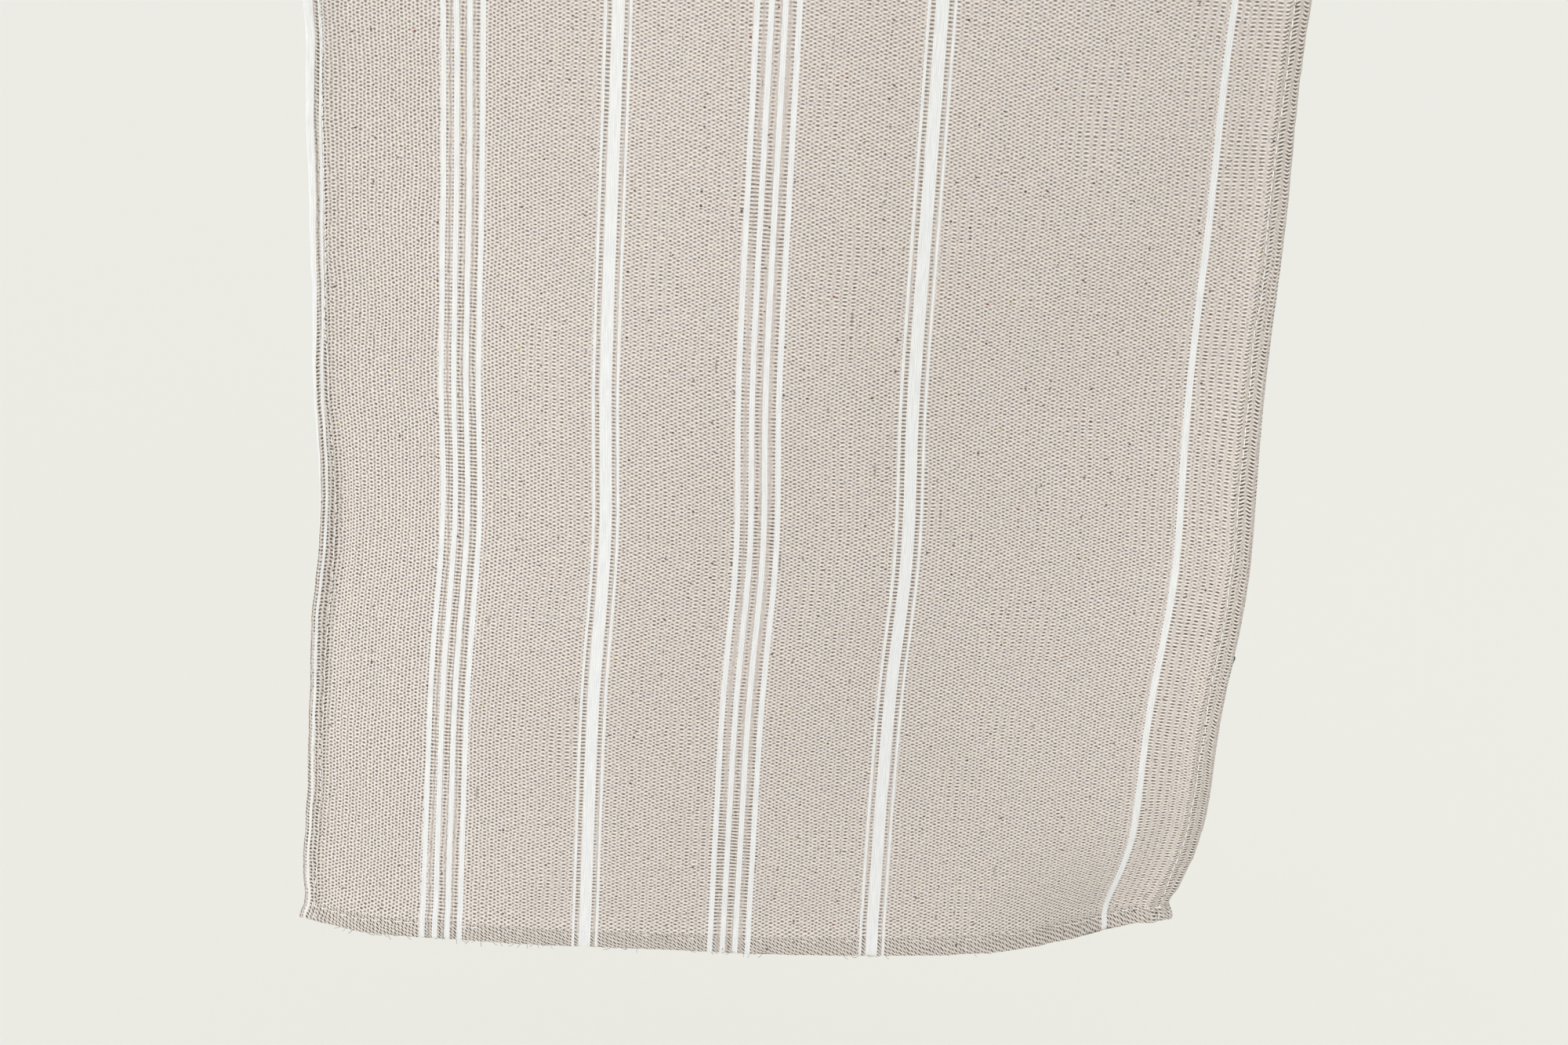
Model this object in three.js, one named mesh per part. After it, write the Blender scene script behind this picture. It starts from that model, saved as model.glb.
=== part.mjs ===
// A woven cotton table runner, draped over the two ends of a table.
// Millimetres, +Z up. X runs across the runner, Y along it, and the table's top is the plane z = 0.
// The origin is the middle of the table. The front drop hangs on the -Y side, the rear drop on the +Y side.
import * as THREE from 'three';

// Overall sizes
const WIDTH = 330;
const TABLE_LENGTH = 1000;
const FRONT_DROP = 415;
const REAR_DROP = 415;

// Cloth and hems
const CLOTH_THICK = 1.0;
const HEM_THICK = 2.4;
const SIDE_HEM = 7;
const END_HEM = 7;
const GAP = 0.3;

// Sewing thread, which lies in a groove that it pulls into the hem
const THREAD_WIDE = 0.6;
const THREAD_HIGH = 0.4;
const SEAM_INSET = 1.4;
const SEAM_END = 5;

// Label, sewn by its top edge to the back of the front drop's right hem
const LABEL_WIDE = 14;
const LABEL_HIGH = 10;
const LABEL_THICK = 0.5;
const LABEL_LIFT = 121;
const LABEL_OUT = 1;
const LABEL_TURN = 12;
const LABEL_SEAM_INSET = 1.6;
const LABEL_SEAM_END = 1;
const LABEL_GAP = 0.9;

// How far each drop stands off the table's edge, and the depth over which it leaves the edge and its
// waves begin, so that no part of it passes behind the edge of a thick table top
const STAND_OFF = 12;
const FOLD_DEPTH = 60;

// The drops hang in soft waves. These are the turns of the cloth, seen from above, in degrees: at its
// left edge, left third, right third and right edge, for three depths. The fold itself is straight.
const FRONT_TURN = { oneThird: [-4, -8, 5, 2], twoThirds: [-11, -4, 9, -24], end: [-17, 3, 10, 44] };
const REAR_TURN = { oneThird: [-5, -3, 4, 6], twoThirds: [-9, -8, 7, 11], end: [-22, -5, 8, 19] };

// How finely the waves are cut into facets
const PIECES_ACROSS = 22;
const PIECES_DOWN = 19;
const LABEL_PIECES = 2;
const TURN_STEPS = 12;

const cottonCloth = new THREE.MeshStandardMaterial({ color: '#cec6bb', roughness: 0.95, metalness: 0 });
const hemCloth = new THREE.MeshStandardMaterial({ color: '#c8c0b5', roughness: 0.95, metalness: 0 });
const whiteThread = new THREE.MeshStandardMaterial({ color: '#f1f1ee', roughness: 0.7, metalness: 0 });
const darkTape = new THREE.MeshStandardMaterial({ color: '#23262e', roughness: 0.8, metalness: 0 });

const HALF_WIDTH = WIDTH / 2;
const PANEL_EDGE = HALF_WIDTH - SIDE_HEM - GAP;

function evenly(from, to, pieces) {
  return Array.from({ length: pieces + 1 }, (_, i) => from + ((to - from) * i) / pieces);
}

// The weight of each station's value at x, on the smooth curve through all of them
function curveWeights(stations, x) {
  return stations.map((own, i) =>
    stations.reduce((weight, other, j) => (i === j ? weight : (weight * (x - other)) / (own - other)), 1));
}

function curveThrough(stations, values, x) {
  return curveWeights(stations, x).reduce((sum, weight, i) => sum + weight * values[i], 0);
}

// The turn of a drop's cloth, in radians, across the runner at u and at a share of the drop's depth
function turnAt(turn, u, share) {
  const across = [turn.oneThird, turn.twoThirds, turn.end].map((row) =>
    curveThrough([-1, -1 / 3, 1 / 3, 1], row, u / HALF_WIDTH));
  return THREE.MathUtils.degToRad(curveThrough([0, 1 / 3, 2 / 3, 1], [0, ...across], share));
}

// A point on the cloth lying on the table: u across, v along and h above its underside
function onTable(u, v, h) {
  return new THREE.Vector3(u, v, h);
}

// A point on a hanging drop: u across, v down from the table's top and h off its back. The drop faces -Y.
function onDrop(length, turn) {
  return (u, v, h) => {
    const begun = THREE.MathUtils.smoothstep(v, 0, FOLD_DEPTH);
    const turned = (across) => begun * turnAt(turn, across, v / length);
    const point = new THREE.Vector3(0, -TABLE_LENGTH / 2 - STAND_OFF * begun, -v);
    for (let step = 0; step < TURN_STEPS; step += 1) {
      const angle = turned((u * (step + 0.5)) / TURN_STEPS);
      point.x += (Math.cos(angle) * u) / TURN_STEPS;
      point.y += (Math.sin(angle) * u) / TURN_STEPS;
    }
    const angle = turned(u);
    point.x += Math.sin(angle) * h;
    point.y -= Math.cos(angle) * h;
    return point;
  };
}

// Sweeps a closed outline through the stations, and closes both ends. place gives a corner's point.
function sweep(shape, stations, place) {
  const outline = THREE.ShapeUtils.isClockWise(shape) ? [...shape].reverse() : shape;
  const rings = stations.map((station) => outline.map((corner) => place(corner, station)));
  const corners = outline.length;
  const faces = [];
  for (let ring = 0; ring + 1 < rings.length; ring += 1) {
    for (let i = 0; i < corners; i += 1) {
      const next = (i + 1) % corners;
      const [a, b] = [ring * corners + i, ring * corners + next];
      faces.push([a, b, b + corners], [a, b + corners, a + corners]);
    }
  }
  const last = (rings.length - 1) * corners;
  for (const [a, b, c] of THREE.ShapeUtils.triangulateShape(outline, [])) {
    faces.push([a, c, b], [last + a, last + b, last + c]);
  }
  return facingOut(rings.flat(), faces);
}

// A geometry of these points and faces, with the faces turned over if they enclose a negative volume
function facingOut(points, faces) {
  let volume = 0;
  for (const [a, b, c] of faces) {
    volume += points[a].dot(new THREE.Vector3().crossVectors(points[b], points[c])) / 6;
  }
  const index = faces.flatMap(([a, b, c]) => (volume > 0 ? [a, b, c] : [a, c, b]));
  const geometry = new THREE.BufferGeometry().setFromPoints(points);
  geometry.setIndex(index);
  geometry.computeVertexNormals();
  return geometry;
}

// Outlines are drawn in p, a distance along the cloth, and h, the height off its back.
function bandOutline(from, to, low, high, pieces = 1) {
  const stations = evenly(from, to, pieces);
  const bottom = stations.map((p) => new THREE.Vector2(p, low));
  const top = stations.map((p) => new THREE.Vector2(p, high)).reverse();
  return [...bottom, ...top];
}

// A hem from its outer edge to its inner fold, with the groove that its seam pulls in
function hemOutline(outerEdge, innerEdge) {
  const inward = Math.sign(innerEdge - outerEdge);
  const seam = innerEdge - inward * SEAM_INSET;
  const side = inward * (THREAD_WIDE / 2 + GAP);
  const floor = HEM_THICK - THREAD_HIGH - GAP;
  const shape = [
    [outerEdge, 0], [innerEdge, 0], [innerEdge, HEM_THICK], [seam + side, HEM_THICK],
    [seam + side, floor], [seam - side, floor], [seam - side, HEM_THICK], [outerEdge, HEM_THICK],
  ];
  return shape.map(([p, h]) => new THREE.Vector2(p, h));
}

function threadOutline(outerEdge, innerEdge) {
  const seam = innerEdge - Math.sign(innerEdge - outerEdge) * SEAM_INSET;
  return bandOutline(seam - THREAD_WIDE / 2, seam + THREAD_WIDE / 2, HEM_THICK - THREAD_HIGH, HEM_THICK);
}

function mesh(name, geometry, material) {
  const made = new THREE.Mesh(geometry, material);
  made.name = name;
  return made;
}

// The panel, side hems and side seams of one stretch of cloth, from one v to another
function lengthwisePieces(part, surface, from, to, leftSide, pieces) {
  const alongV = (outline) => sweep(outline, evenly(from, to, pieces), (c, v) => surface(c.x, v, c.y));
  const across = pieces > 1 ? PIECES_ACROSS : 1;
  const panel = bandOutline(-PANEL_EDGE, PANEL_EDGE, 0, CLOTH_THICK, across);
  const made = [mesh(`${part}_panel`, alongV(panel), cottonCloth)];
  for (const [side, sign] of [['left', leftSide], ['right', -leftSide]]) {
    const [outer, inner] = [sign * HALF_WIDTH, sign * (HALF_WIDTH - SIDE_HEM)];
    made.push(mesh(`${part}_${side}_hem`, alongV(hemOutline(outer, inner)), hemCloth));
    made.push(mesh(`${part}_${side}_seam_thread`, alongV(threadOutline(outer, inner)), whiteThread));
  }
  return made;
}

// The hem across a drop's end and its seam, which stops short of the corners
function endPieces(part, surface, length) {
  const acrossU = (outline, stations) => sweep(outline, stations, (c, u) => surface(u, c.x, c.y));
  const [outer, inner] = [length, length - END_HEM];
  const seamStations = evenly(SEAM_END - HALF_WIDTH, HALF_WIDTH - SEAM_END, PIECES_ACROSS);
  const hemStations = [-HALF_WIDTH, ...seamStations, HALF_WIDTH];
  return [
    mesh(`${part}_end_hem`, acrossU(hemOutline(outer, inner), hemStations), hemCloth),
    mesh(`${part}_end_seam_thread`, acrossU(threadOutline(outer, inner), seamStations), whiteThread),
  ];
}

function tablePart() {
  return lengthwisePieces('table', onTable, -TABLE_LENGTH / 2, TABLE_LENGTH / 2, -1, 1);
}

function dropPart(part, length, surface, leftSide) {
  const lastV = length - END_HEM - GAP;
  const made = lengthwisePieces(part, surface, GAP, lastV, leftSide, PIECES_DOWN);
  return [...made, ...endPieces(part, surface, length)];
}

// A corner of the label's own plane: across from its inner side, down from its sewn edge, h off the cloth
function onLabel(surface) {
  const turn = THREE.MathUtils.degToRad(LABEL_TURN);
  const middleU = HALF_WIDTH + LABEL_OUT - reachBeyondMiddle(turn);
  const middleV = FRONT_DROP - LABEL_LIFT;
  return (across, down, h) => {
    const [a, d] = [across - LABEL_WIDE / 2, down - LABEL_HIGH / 2];
    const u = middleU + a * Math.cos(turn) - d * Math.sin(turn);
    const v = middleV + a * Math.sin(turn) + d * Math.cos(turn);
    return surface(u, v, -LABEL_GAP - h);
  };
}

// How far the turned label's outermost corner lies from its middle
function reachBeyondMiddle(turn) {
  return (LABEL_WIDE / 2) * Math.cos(turn) + (LABEL_HIGH / 2) * Math.sin(turn);
}

function labelPart(surface) {
  const place = onLabel(surface);
  const tape = bandOutline(0, LABEL_WIDE, 0, LABEL_THICK, LABEL_PIECES);
  const seamHigh = LABEL_THICK + GAP;
  const [from, to] = [LABEL_SEAM_END, LABEL_WIDE - LABEL_SEAM_END];
  const seam = bandOutline(from, to, seamHigh, seamHigh + THREAD_HIGH, LABEL_PIECES);
  const seamEnds = [LABEL_SEAM_INSET, LABEL_SEAM_INSET + THREAD_WIDE];
  return [
    mesh('label', sweep(tape, [0, LABEL_HIGH], (c, down) => place(c.x, down, c.y)), darkTape),
    mesh('label_seam_thread', sweep(seam, seamEnds, (c, down) => place(c.x, down, c.y)), whiteThread),
  ];
}

function runner() {
  const frontSurface = onDrop(FRONT_DROP, FRONT_TURN);
  const rearSurface = onDrop(REAR_DROP, REAR_TURN);
  const rear = new THREE.Group();
  rear.rotation.z = Math.PI;
  rear.add(...dropPart('rear', REAR_DROP, rearSurface, 1));
  const made = new THREE.Group();
  made.add(...tablePart());
  made.add(...dropPart('front', FRONT_DROP, frontSurface, -1));
  made.add(...labelPart(frontSurface));
  made.add(rear);
  return made;
}

export default runner();
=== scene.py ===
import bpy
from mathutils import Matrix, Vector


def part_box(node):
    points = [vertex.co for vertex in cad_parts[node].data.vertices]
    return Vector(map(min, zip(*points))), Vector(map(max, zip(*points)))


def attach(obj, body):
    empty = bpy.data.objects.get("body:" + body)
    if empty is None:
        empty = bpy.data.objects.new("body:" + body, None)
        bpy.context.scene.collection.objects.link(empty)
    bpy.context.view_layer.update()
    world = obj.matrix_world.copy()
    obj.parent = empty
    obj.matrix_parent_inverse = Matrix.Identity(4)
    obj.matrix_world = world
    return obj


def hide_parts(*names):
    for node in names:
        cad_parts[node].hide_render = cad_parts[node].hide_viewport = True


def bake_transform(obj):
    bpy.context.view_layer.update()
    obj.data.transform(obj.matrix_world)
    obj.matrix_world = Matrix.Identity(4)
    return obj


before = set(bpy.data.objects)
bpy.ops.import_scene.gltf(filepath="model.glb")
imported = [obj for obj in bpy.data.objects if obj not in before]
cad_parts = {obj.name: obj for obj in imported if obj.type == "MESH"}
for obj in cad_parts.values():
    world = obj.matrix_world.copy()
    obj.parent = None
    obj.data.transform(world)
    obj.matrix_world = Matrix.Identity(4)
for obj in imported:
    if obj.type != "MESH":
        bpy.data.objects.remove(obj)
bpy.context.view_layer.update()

import math

import bpy
import numpy as np
from mathutils import Matrix, Vector

# %% [markdown]
# # A draped cotton table runner
#
# The runner is one length of coarse, undyed cotton with white stripes along it. Its side edges and its
# two ends are folded double and stitched down. It lies along a table and hangs over both of its ends.
#
# A cloth simulation would drape it, but each run of one would end in slightly different folds from the
# ones wanted here. This cloth hangs almost straight, so its shape is given by a rule instead: the turn
# of the cloth, seen from above, at four places across and three depths. The same rule and the same
# numbers shaped the plain solids of the frame, so both agree.

# %% Sizes, read from the frame where it has them
MM = 0.001
HALF_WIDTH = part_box("table_right_hem")[1][0]
TABLE_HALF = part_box("table_panel")[1][1]
FRONT_DEPTH = -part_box("front_end_hem")[0][2]
REAR_DEPTH = -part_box("rear_end_hem")[0][2]
SIDE_HEM = 7 * MM
END_HEM = 7 * MM
SEAM_INSET = 1.4 * MM
CLOTH_THICK = 0.9 * MM
HEM_THICK = 2.3 * MM
STAND_OFF = 12 * MM
FOLD_DEPTH = 60 * MM
BEND_RADIUS = 3 * MM
FRONT_TURN = [(-4, -8, 5, 2), (-11, -4, 9, -24), (-17, 3, 10, 44)]
REAR_TURN = [(-5, -3, 4, 6), (-9, -8, 7, 11), (-22, -5, 8, 19)]
HEM_FLARE = 0.07
SWAY, SWAY_DEPTH, SWAY_REACH = 2.3 * MM, 262 * MM, 40 * MM
CORNER_PULL = 9 * MM
PULL_ACROSS = (128 * MM, 172 * MM)
PULL_HEIGHT = 110 * MM
LEFT_DIP, LEFT_DIP_AT, LEFT_DIP_REACH = 1.4 * MM, -138 * MM, 18 * MM
MIDDLE_RISE, MIDDLE_RISE_AT, MIDDLE_RISE_REACH = 0.9 * MM, -40 * MM, 35 * MM
LEFT_DRAWN_IN = 1.1 * MM
DRAWN_ACROSS, DRAWN_DEPTH = (115 * MM, 160 * MM), (225 * MM, 265 * MM)
CURL_BEFORE, CURL_BEFORE_AT, CURL_BEFORE_REACH = 12, 112 * MM, 20 * MM
CURL_EDGE, CURL_EDGE_ACROSS = 38, (128 * MM, 152 * MM)
CURL_FROM, CURL_TO = 50 * MM, 8 * MM
TURN_STEPS = 12
PROBE = 0.2 * MM
BEND_LENGTH = BEND_RADIUS * math.pi / 2
HALF_LENGTH = TABLE_HALF - BEND_RADIUS + BEND_LENGTH + FRONT_DEPTH - BEND_RADIUS
print(f"width {2 * HALF_WIDTH:.3f} m, table {2 * TABLE_HALF:.3f} m, half length {HALF_LENGTH:.3f} m")

# %% [markdown]
# ## Where the cloth lies
#
# Every point of the runner has a place on the flat cloth: `u` across it and `s` along it from the middle
# of the table. The functions below turn that into a point in space. The rear half is the same shape rule
# turned half a circle, as in the frame.

# %% From flat cloth to draped cloth
def smooth(x, low, high):
    """0 below low, 1 above high, and an even S between them."""
    t = np.clip((x - low) / (high - low), 0, 1)
    return t * t * (3 - 2 * t)


def hump(x, middle, reach):
    """1 at the middle, about a third at the reach on either side of it, and fading out beyond."""
    return np.exp(-(((x - middle) / reach) ** 2))


def curve_through(stations, values, x):
    """The smooth curve through all the values, at x."""
    total = 0
    for i, own in enumerate(stations):
        weight = values[i]
        for j, other in enumerate(stations):
            if i != j:
                weight = weight * (x - other) / (own - other)
        total = total + weight
    return total


def turn_at(turn, u, depth, whole_depth):
    """How far the cloth is turned, in radians, at u across and at a depth below the table's top."""
    across = [curve_through((-1, -1 / 3, 1 / 3, 1), row, u / HALF_WIDTH) for row in turn]
    degrees = curve_through((0, 1 / 3, 2 / 3, 1), [0 * u, *across], depth / whole_depth)
    flare = 1 - HEM_FLARE * smooth(depth, whole_depth - 1.3 * END_HEM, whole_depth - 0.2 * END_HEM)
    if turn is FRONT_TURN:
        degrees = degrees + corner_curl(u) * smooth(depth, whole_depth - CURL_FROM, whole_depth - CURL_TO)
    return np.radians(degrees) * smooth(depth, 0, FOLD_DEPTH) * flare


def corner_curl(u):
    """The extra turn, in degrees, where the front right corner curls: more before it and less at the edge."""
    before = CURL_BEFORE * hump(u, CURL_BEFORE_AT, CURL_BEFORE_REACH)
    return before - CURL_EDGE * smooth(u, *CURL_EDGE_ACROSS)


def hang_uneven(across, depth, whole_depth):
    """How far the front drop's cloth is moved to the right, and how far its bottom edge is moved up."""
    sway = SWAY * hump(depth, SWAY_DEPTH, SWAY_REACH)
    sway = sway + LEFT_DRAWN_IN * smooth(-across, *DRAWN_ACROSS) * smooth(depth, *DRAWN_DEPTH)
    pull = CORNER_PULL * smooth(across, *PULL_ACROSS)
    pull = pull - LEFT_DIP * hump(across, LEFT_DIP_AT, LEFT_DIP_REACH)
    pull = pull + MIDDLE_RISE * hump(across, MIDDLE_RISE_AT, MIDDLE_RISE_REACH)
    return sway, pull * smooth(depth, whole_depth - PULL_HEIGHT, whole_depth)


def back_of_cloth(end, u, s):
    """Points on the cloth's underside. end is -1 for the front half and 1 for the rear half."""
    turn, whole_depth = (FRONT_TURN, FRONT_DEPTH) if end < 0 else (REAR_TURN, REAR_DEPTH)
    across = u * -end
    flat = np.minimum(s, TABLE_HALF - BEND_RADIUS)
    bent = np.clip(s - (TABLE_HALF - BEND_RADIUS), 0, BEND_LENGTH) / BEND_RADIUS
    fallen = np.maximum(s - (TABLE_HALF - BEND_RADIUS) - BEND_LENGTH, 0)
    depth = BEND_RADIUS + fallen
    hanging = fallen > 0
    x = np.where(hanging, 0.0, across)
    y = -flat - BEND_RADIUS * np.sin(bent)
    z = -BEND_RADIUS * (1 - np.cos(bent)) - fallen
    y = y - STAND_OFF * smooth(fallen, 0, FOLD_DEPTH) * hanging
    for step in range(TURN_STEPS):
        angle = turn_at(turn, across * (step + 0.5) / TURN_STEPS, depth, whole_depth) * hanging
        x = x + np.cos(angle) * across / TURN_STEPS * hanging
        y = y + np.sin(angle) * across / TURN_STEPS * hanging
    if end < 0:
        sway, pull = hang_uneven(across, depth, whole_depth)
        x, z = x + sway * hanging, z + pull * hanging
    return np.stack([x * -end, y * -end, z], -1)


def draped(end, u, s, height=0.0):
    """Points at a height off the cloth's underside, measured square to it."""
    here = back_of_cloth(end, u, s)
    along_u = back_of_cloth(end, u + PROBE, s) - back_of_cloth(end, u - PROBE, s)
    along_s = back_of_cloth(end, u, s + PROBE) - back_of_cloth(end, u, s - PROBE)
    out = np.cross(along_s, along_u) * -end
    out = out / np.linalg.norm(out, axis=-1, keepdims=True)
    return here + out * np.asarray(height)[..., None], out


corner = draped(-1, np.array([HALF_WIDTH]), np.array([HALF_LENGTH]))[0][0]
print("front right corner of the underside", np.round(corner, 4))

# %% [markdown]
# ## Camera, floor and light
#
# The camera stands in front of the front drop, a little above the middle of it, and looks down along it.
# The floor is the plain pale one that a studio has. The light is soft, with a large lamp on the left.

# %% Camera
CAMERA_PLACE = Vector((0.0219, -1.2189, -0.0418))
SENSOR_MM, LENS_MM = 36, 49.45
CAMERA_TURN, CAMERA_DOWN, CAMERA_ROLL = (math.radians(a) for a in (1.39, 16.52, 3.36))


def camera_axes(turn, down, roll):
    """The camera's right, up and back directions as the columns of a rotation."""
    ahead = Vector((-math.sin(turn) * math.cos(down), math.cos(turn) * math.cos(down), -math.sin(down)))
    level = Vector((math.cos(turn), math.sin(turn), 0))
    upright = level.cross(ahead)
    right = level * math.cos(roll) + upright * math.sin(roll)
    return Matrix((right, right.cross(ahead), -ahead)).transposed()


camera = bpy.data.objects.new("camera", bpy.data.cameras.new("camera"))
bpy.context.collection.objects.link(camera)
axes = camera_axes(CAMERA_TURN, CAMERA_DOWN, CAMERA_ROLL)
camera.matrix_world = Matrix.Translation(CAMERA_PLACE) @ axes.to_4x4()
camera.data.sensor_width = SENSOR_MM
camera.data.lens = LENS_MM
camera.data.clip_end = 100
bpy.context.scene.camera = camera
bpy.context.scene.view_settings.view_transform = "Standard"


# %% Colours and nodes
def linear(hex_colour):
    """A linear RGBA colour from an sRGB hex value."""
    parts = [int(hex_colour[i : i + 2], 16) / 255 for i in (1, 3, 5)]
    return [p / 12.92 if p <= 0.04045 else ((p + 0.055) / 1.055) ** 2.4 for p in parts] + [1]


def add(tree, kind, links=None, **settings):
    """Adds a node. links fills its inputs, by name or number, with a socket or a value."""
    node = tree.nodes.new(kind)
    for name, value in settings.items():
        setattr(node, name, value)
    for name, value in (links or {}).items():
        socket = node.inputs[name]
        if isinstance(value, bpy.types.NodeSocket):
            tree.links.new(value, socket)
        else:
            socket.default_value = value
    return node


def new_material(name):
    """An empty Principled material with its tree and shader."""
    material = bpy.data.materials.new(name)
    material.use_nodes = True
    tree = material.node_tree
    return material, tree, tree.nodes["Principled BSDF"]


# %% Floor and lamps
FLOOR_DROP = 1000 * MM
FLOOR_REACH = 60


def make_floor():
    floor_paint, _, shader = new_material("matt_studio_paint")
    shader.inputs["Base Color"].default_value = linear("#efefe9")
    shader.inputs["Roughness"].default_value = 0.9
    shader.inputs["Specular IOR Level"].default_value = 0.1
    mesh = bpy.data.meshes.new("floor")
    r = FLOOR_REACH
    mesh.from_pydata([(-r, -r, 0), (r, -r, 0), (r, r, 0), (-r, r, 0)], [], [(0, 1, 2, 3)])
    mesh.transform(Matrix.Translation((0, 0, -FLOOR_DROP)))
    mesh.materials.append(floor_paint)
    floor = bpy.data.objects.new("floor", mesh)
    bpy.context.collection.objects.link(floor)


def make_lamp(name, place, target, size, spread, watts, colour):
    lamp = bpy.data.objects.new(name, bpy.data.lights.new(name, "AREA"))
    lamp.data.shape, lamp.data.size = "SQUARE", size
    lamp.data.spread = spread
    lamp.data.energy, lamp.data.color = watts, linear(colour)[:3]
    away = Vector(place) - Vector(target)
    lamp.matrix_world = Matrix.Translation(place) @ away.to_track_quat("Z", "Y").to_matrix().to_4x4()
    bpy.context.collection.objects.link(lamp)


def make_world(colour, strength):
    world = bpy.data.worlds.new("studio")
    world.use_nodes = True
    background = world.node_tree.nodes["Background"]
    background.inputs["Color"].default_value = linear(colour)
    background.inputs["Strength"].default_value = strength
    bpy.context.scene.world = world


make_floor()
make_world("#fdfdfc", strength=0.985)
front_middle = (0, -TABLE_HALF, -FRONT_DEPTH / 2)
make_lamp("key", place=(-2.3, -2.1, 0.0), target=front_middle, size=1.0,
          spread=math.radians(70), watts=3.2, colour="#fffdfa")
print("camera, floor and lamps are in place")

# %% [markdown]
# ## The cloth as a closed sheet with real hems
#
# The woven cloth is one surface, but a flat sheet with a Solidify modifier would have square edges and no
# hems. Here each row across the runner is a closed loop: along the face, round the folded edge, and back
# along the underside. The hems are thicker, and they have their pucker and the groove of the seam.
#
# The runner is cut into four lengths, which meet edge to edge where it lies flat. Each joint of the frame
# can then bend its own piece, and an exported texture has enough room for the weave.

# %% Hem profile and small unevenness
RIM_STEPS = 6
PANEL_STEP = 3.4 * MM
HEM_STEP = 0.75 * MM
HEM_ZONE = 15 * MM
ROW_STEP = 1.37 * MM
STITCH_PITCH = 4.1 * MM
FOLD_INSIDE, FOLD_OUTSIDE = 0.5 * MM, 0.4 * MM
CLIMB_INSIDE, CLIMB_OUTSIDE = 2 * MM, 7 * MM
CORNER_BULK = 0.5 * MM
GROOVE_DEPTH, GROOVE_REACH, NEEDLE_SHARE = 0.5 * MM, 1.1 * MM, 0.28
PUCKER, PUCKER_REACH = 0.28 * MM, 9 * MM
SLOW_WAVE = 0.55 * MM
CREASE, CREASE_FROM_EDGE, CREASE_REACH = 3.0 * MM, 8 * MM, 4 * MM
CREASE_DEEPEST, CREASE_LONG = 145 * MM, 50 * MM
CREASE_BELOW, CREASE_BELOW_FROM = 0.3, 90 * MM
EDGE_WANDER = 0.45 * MM
TAB_FLARE, TAB_FLARE_HIGH = 1.0 * MM, 6 * MM
TAB_DRAWN_IN, TAB_DRAWN_AT, TAB_DRAWN_REACH = 1.3 * MM, 9 * MM, 5 * MM
THINNEST = 0.02


def waves(seed, count, shortest, longest):
    """A smooth uneven line: a sum of sine waves of mixed lengths, about 1 high."""
    random = np.random.default_rng(seed)
    lengths = random.uniform(shortest, longest, count)
    phases = random.uniform(0, 2 * math.pi, count)
    return lambda x: sum(np.sin(2 * math.pi * x / l + p) for l, p in zip(lengths, phases)) / math.sqrt(count)


edge_wander = {side: waves(side + 5, 6, 35 * MM, 160 * MM) for side in (-1, 1)}
hem_pucker = {side: waves(side + 15, 8, 7 * MM, 22 * MM) for side in (-1, 0, 1)}
sag_across = waves(31, 5, 60 * MM, 190 * MM)
sag_along = waves(37, 5, 90 * MM, 260 * MM)
ripple = waves(41, 6, 18 * MM, 46 * MM)


def from_edges(u, s):
    """How far a point of the flat cloth is from its side edge and from the end edge."""
    return HALF_WIDTH - np.abs(u), HALF_LENGTH - s


def hem_share(u, s):
    """Two shares, of the side hem and of the end hem: 0 on the single cloth and 1 on that hem."""
    from_side, from_end = from_edges(u, s)
    side = 1 - smooth(from_side, SIDE_HEM - FOLD_INSIDE, SIDE_HEM + FOLD_OUTSIDE)
    end = 1 - smooth(from_end, END_HEM - FOLD_INSIDE, END_HEM + FOLD_OUTSIDE)
    return side, end


def face_rise(u, s):
    """How much higher the face lies than the single cloth's, which climbs softly on to its hems."""
    from_side, from_end = from_edges(u, s)
    side = 1 - smooth(from_side, SIDE_HEM - CLIMB_INSIDE, SIDE_HEM + CLIMB_OUTSIDE)
    end = 1 - smooth(from_end, END_HEM - CLIMB_INSIDE, END_HEM + CLIMB_OUTSIDE)
    return (HEM_THICK - CLOTH_THICK) * np.maximum(side, end) + CORNER_BULK * side * end


def seam_dent(u, s):
    """The groove that a seam pulls into the cloth, deepest where the needle went through."""
    from_side, from_end = from_edges(u, s)
    depth = 0
    for off, along in ((from_side - SIDE_HEM, s), (from_end - END_HEM, u)):
        groove = hump(off, -SEAM_INSET, GROOVE_REACH)
        needle = 1 - NEEDLE_SHARE + NEEDLE_SHARE * np.cos(2 * math.pi * along / STITCH_PITCH)
        depth = depth + GROOVE_DEPTH * groove * needle
    return depth


def pucker(end, u, s):
    """The hems' small waves between stitches, which fade out a little way into the cloth."""
    from_side, from_end = from_edges(u, s)
    beside = np.where(u < 0, hem_pucker[-1](s * end), hem_pucker[1](s * end))
    beside = beside * np.exp(-from_side / PUCKER_REACH)
    return PUCKER * (beside + hem_pucker[0](u + 0.3 * end) * np.exp(-from_end / PUCKER_REACH))


def slow_waves(end, u, s):
    """The long soft unevenness of cloth that has been folded and pressed. Most of it is a lift."""
    long_ones = sag_across(u) * sag_along(s * end) * 0.5 + ripple(u * 0.6 + s * end * 0.8) * 0.16
    return SLOW_WAVE * (1.2 + long_ones)


def left_crease(end, u, s):
    """The depth of the crease beside the front drop's left hem, where the hem curls to the front."""
    deepest = hump(HALF_LENGTH - s, CREASE_DEEPEST, CREASE_LONG)
    below = smooth(s, HALF_LENGTH - CREASE_DEEPEST, HALF_LENGTH - CREASE_BELOW_FROM)
    lower = (deepest + CREASE_BELOW * below) * (end < 0)
    return CREASE * lower * hump(HALF_WIDTH + u, CREASE_FROM_EDGE, CREASE_REACH)


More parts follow.
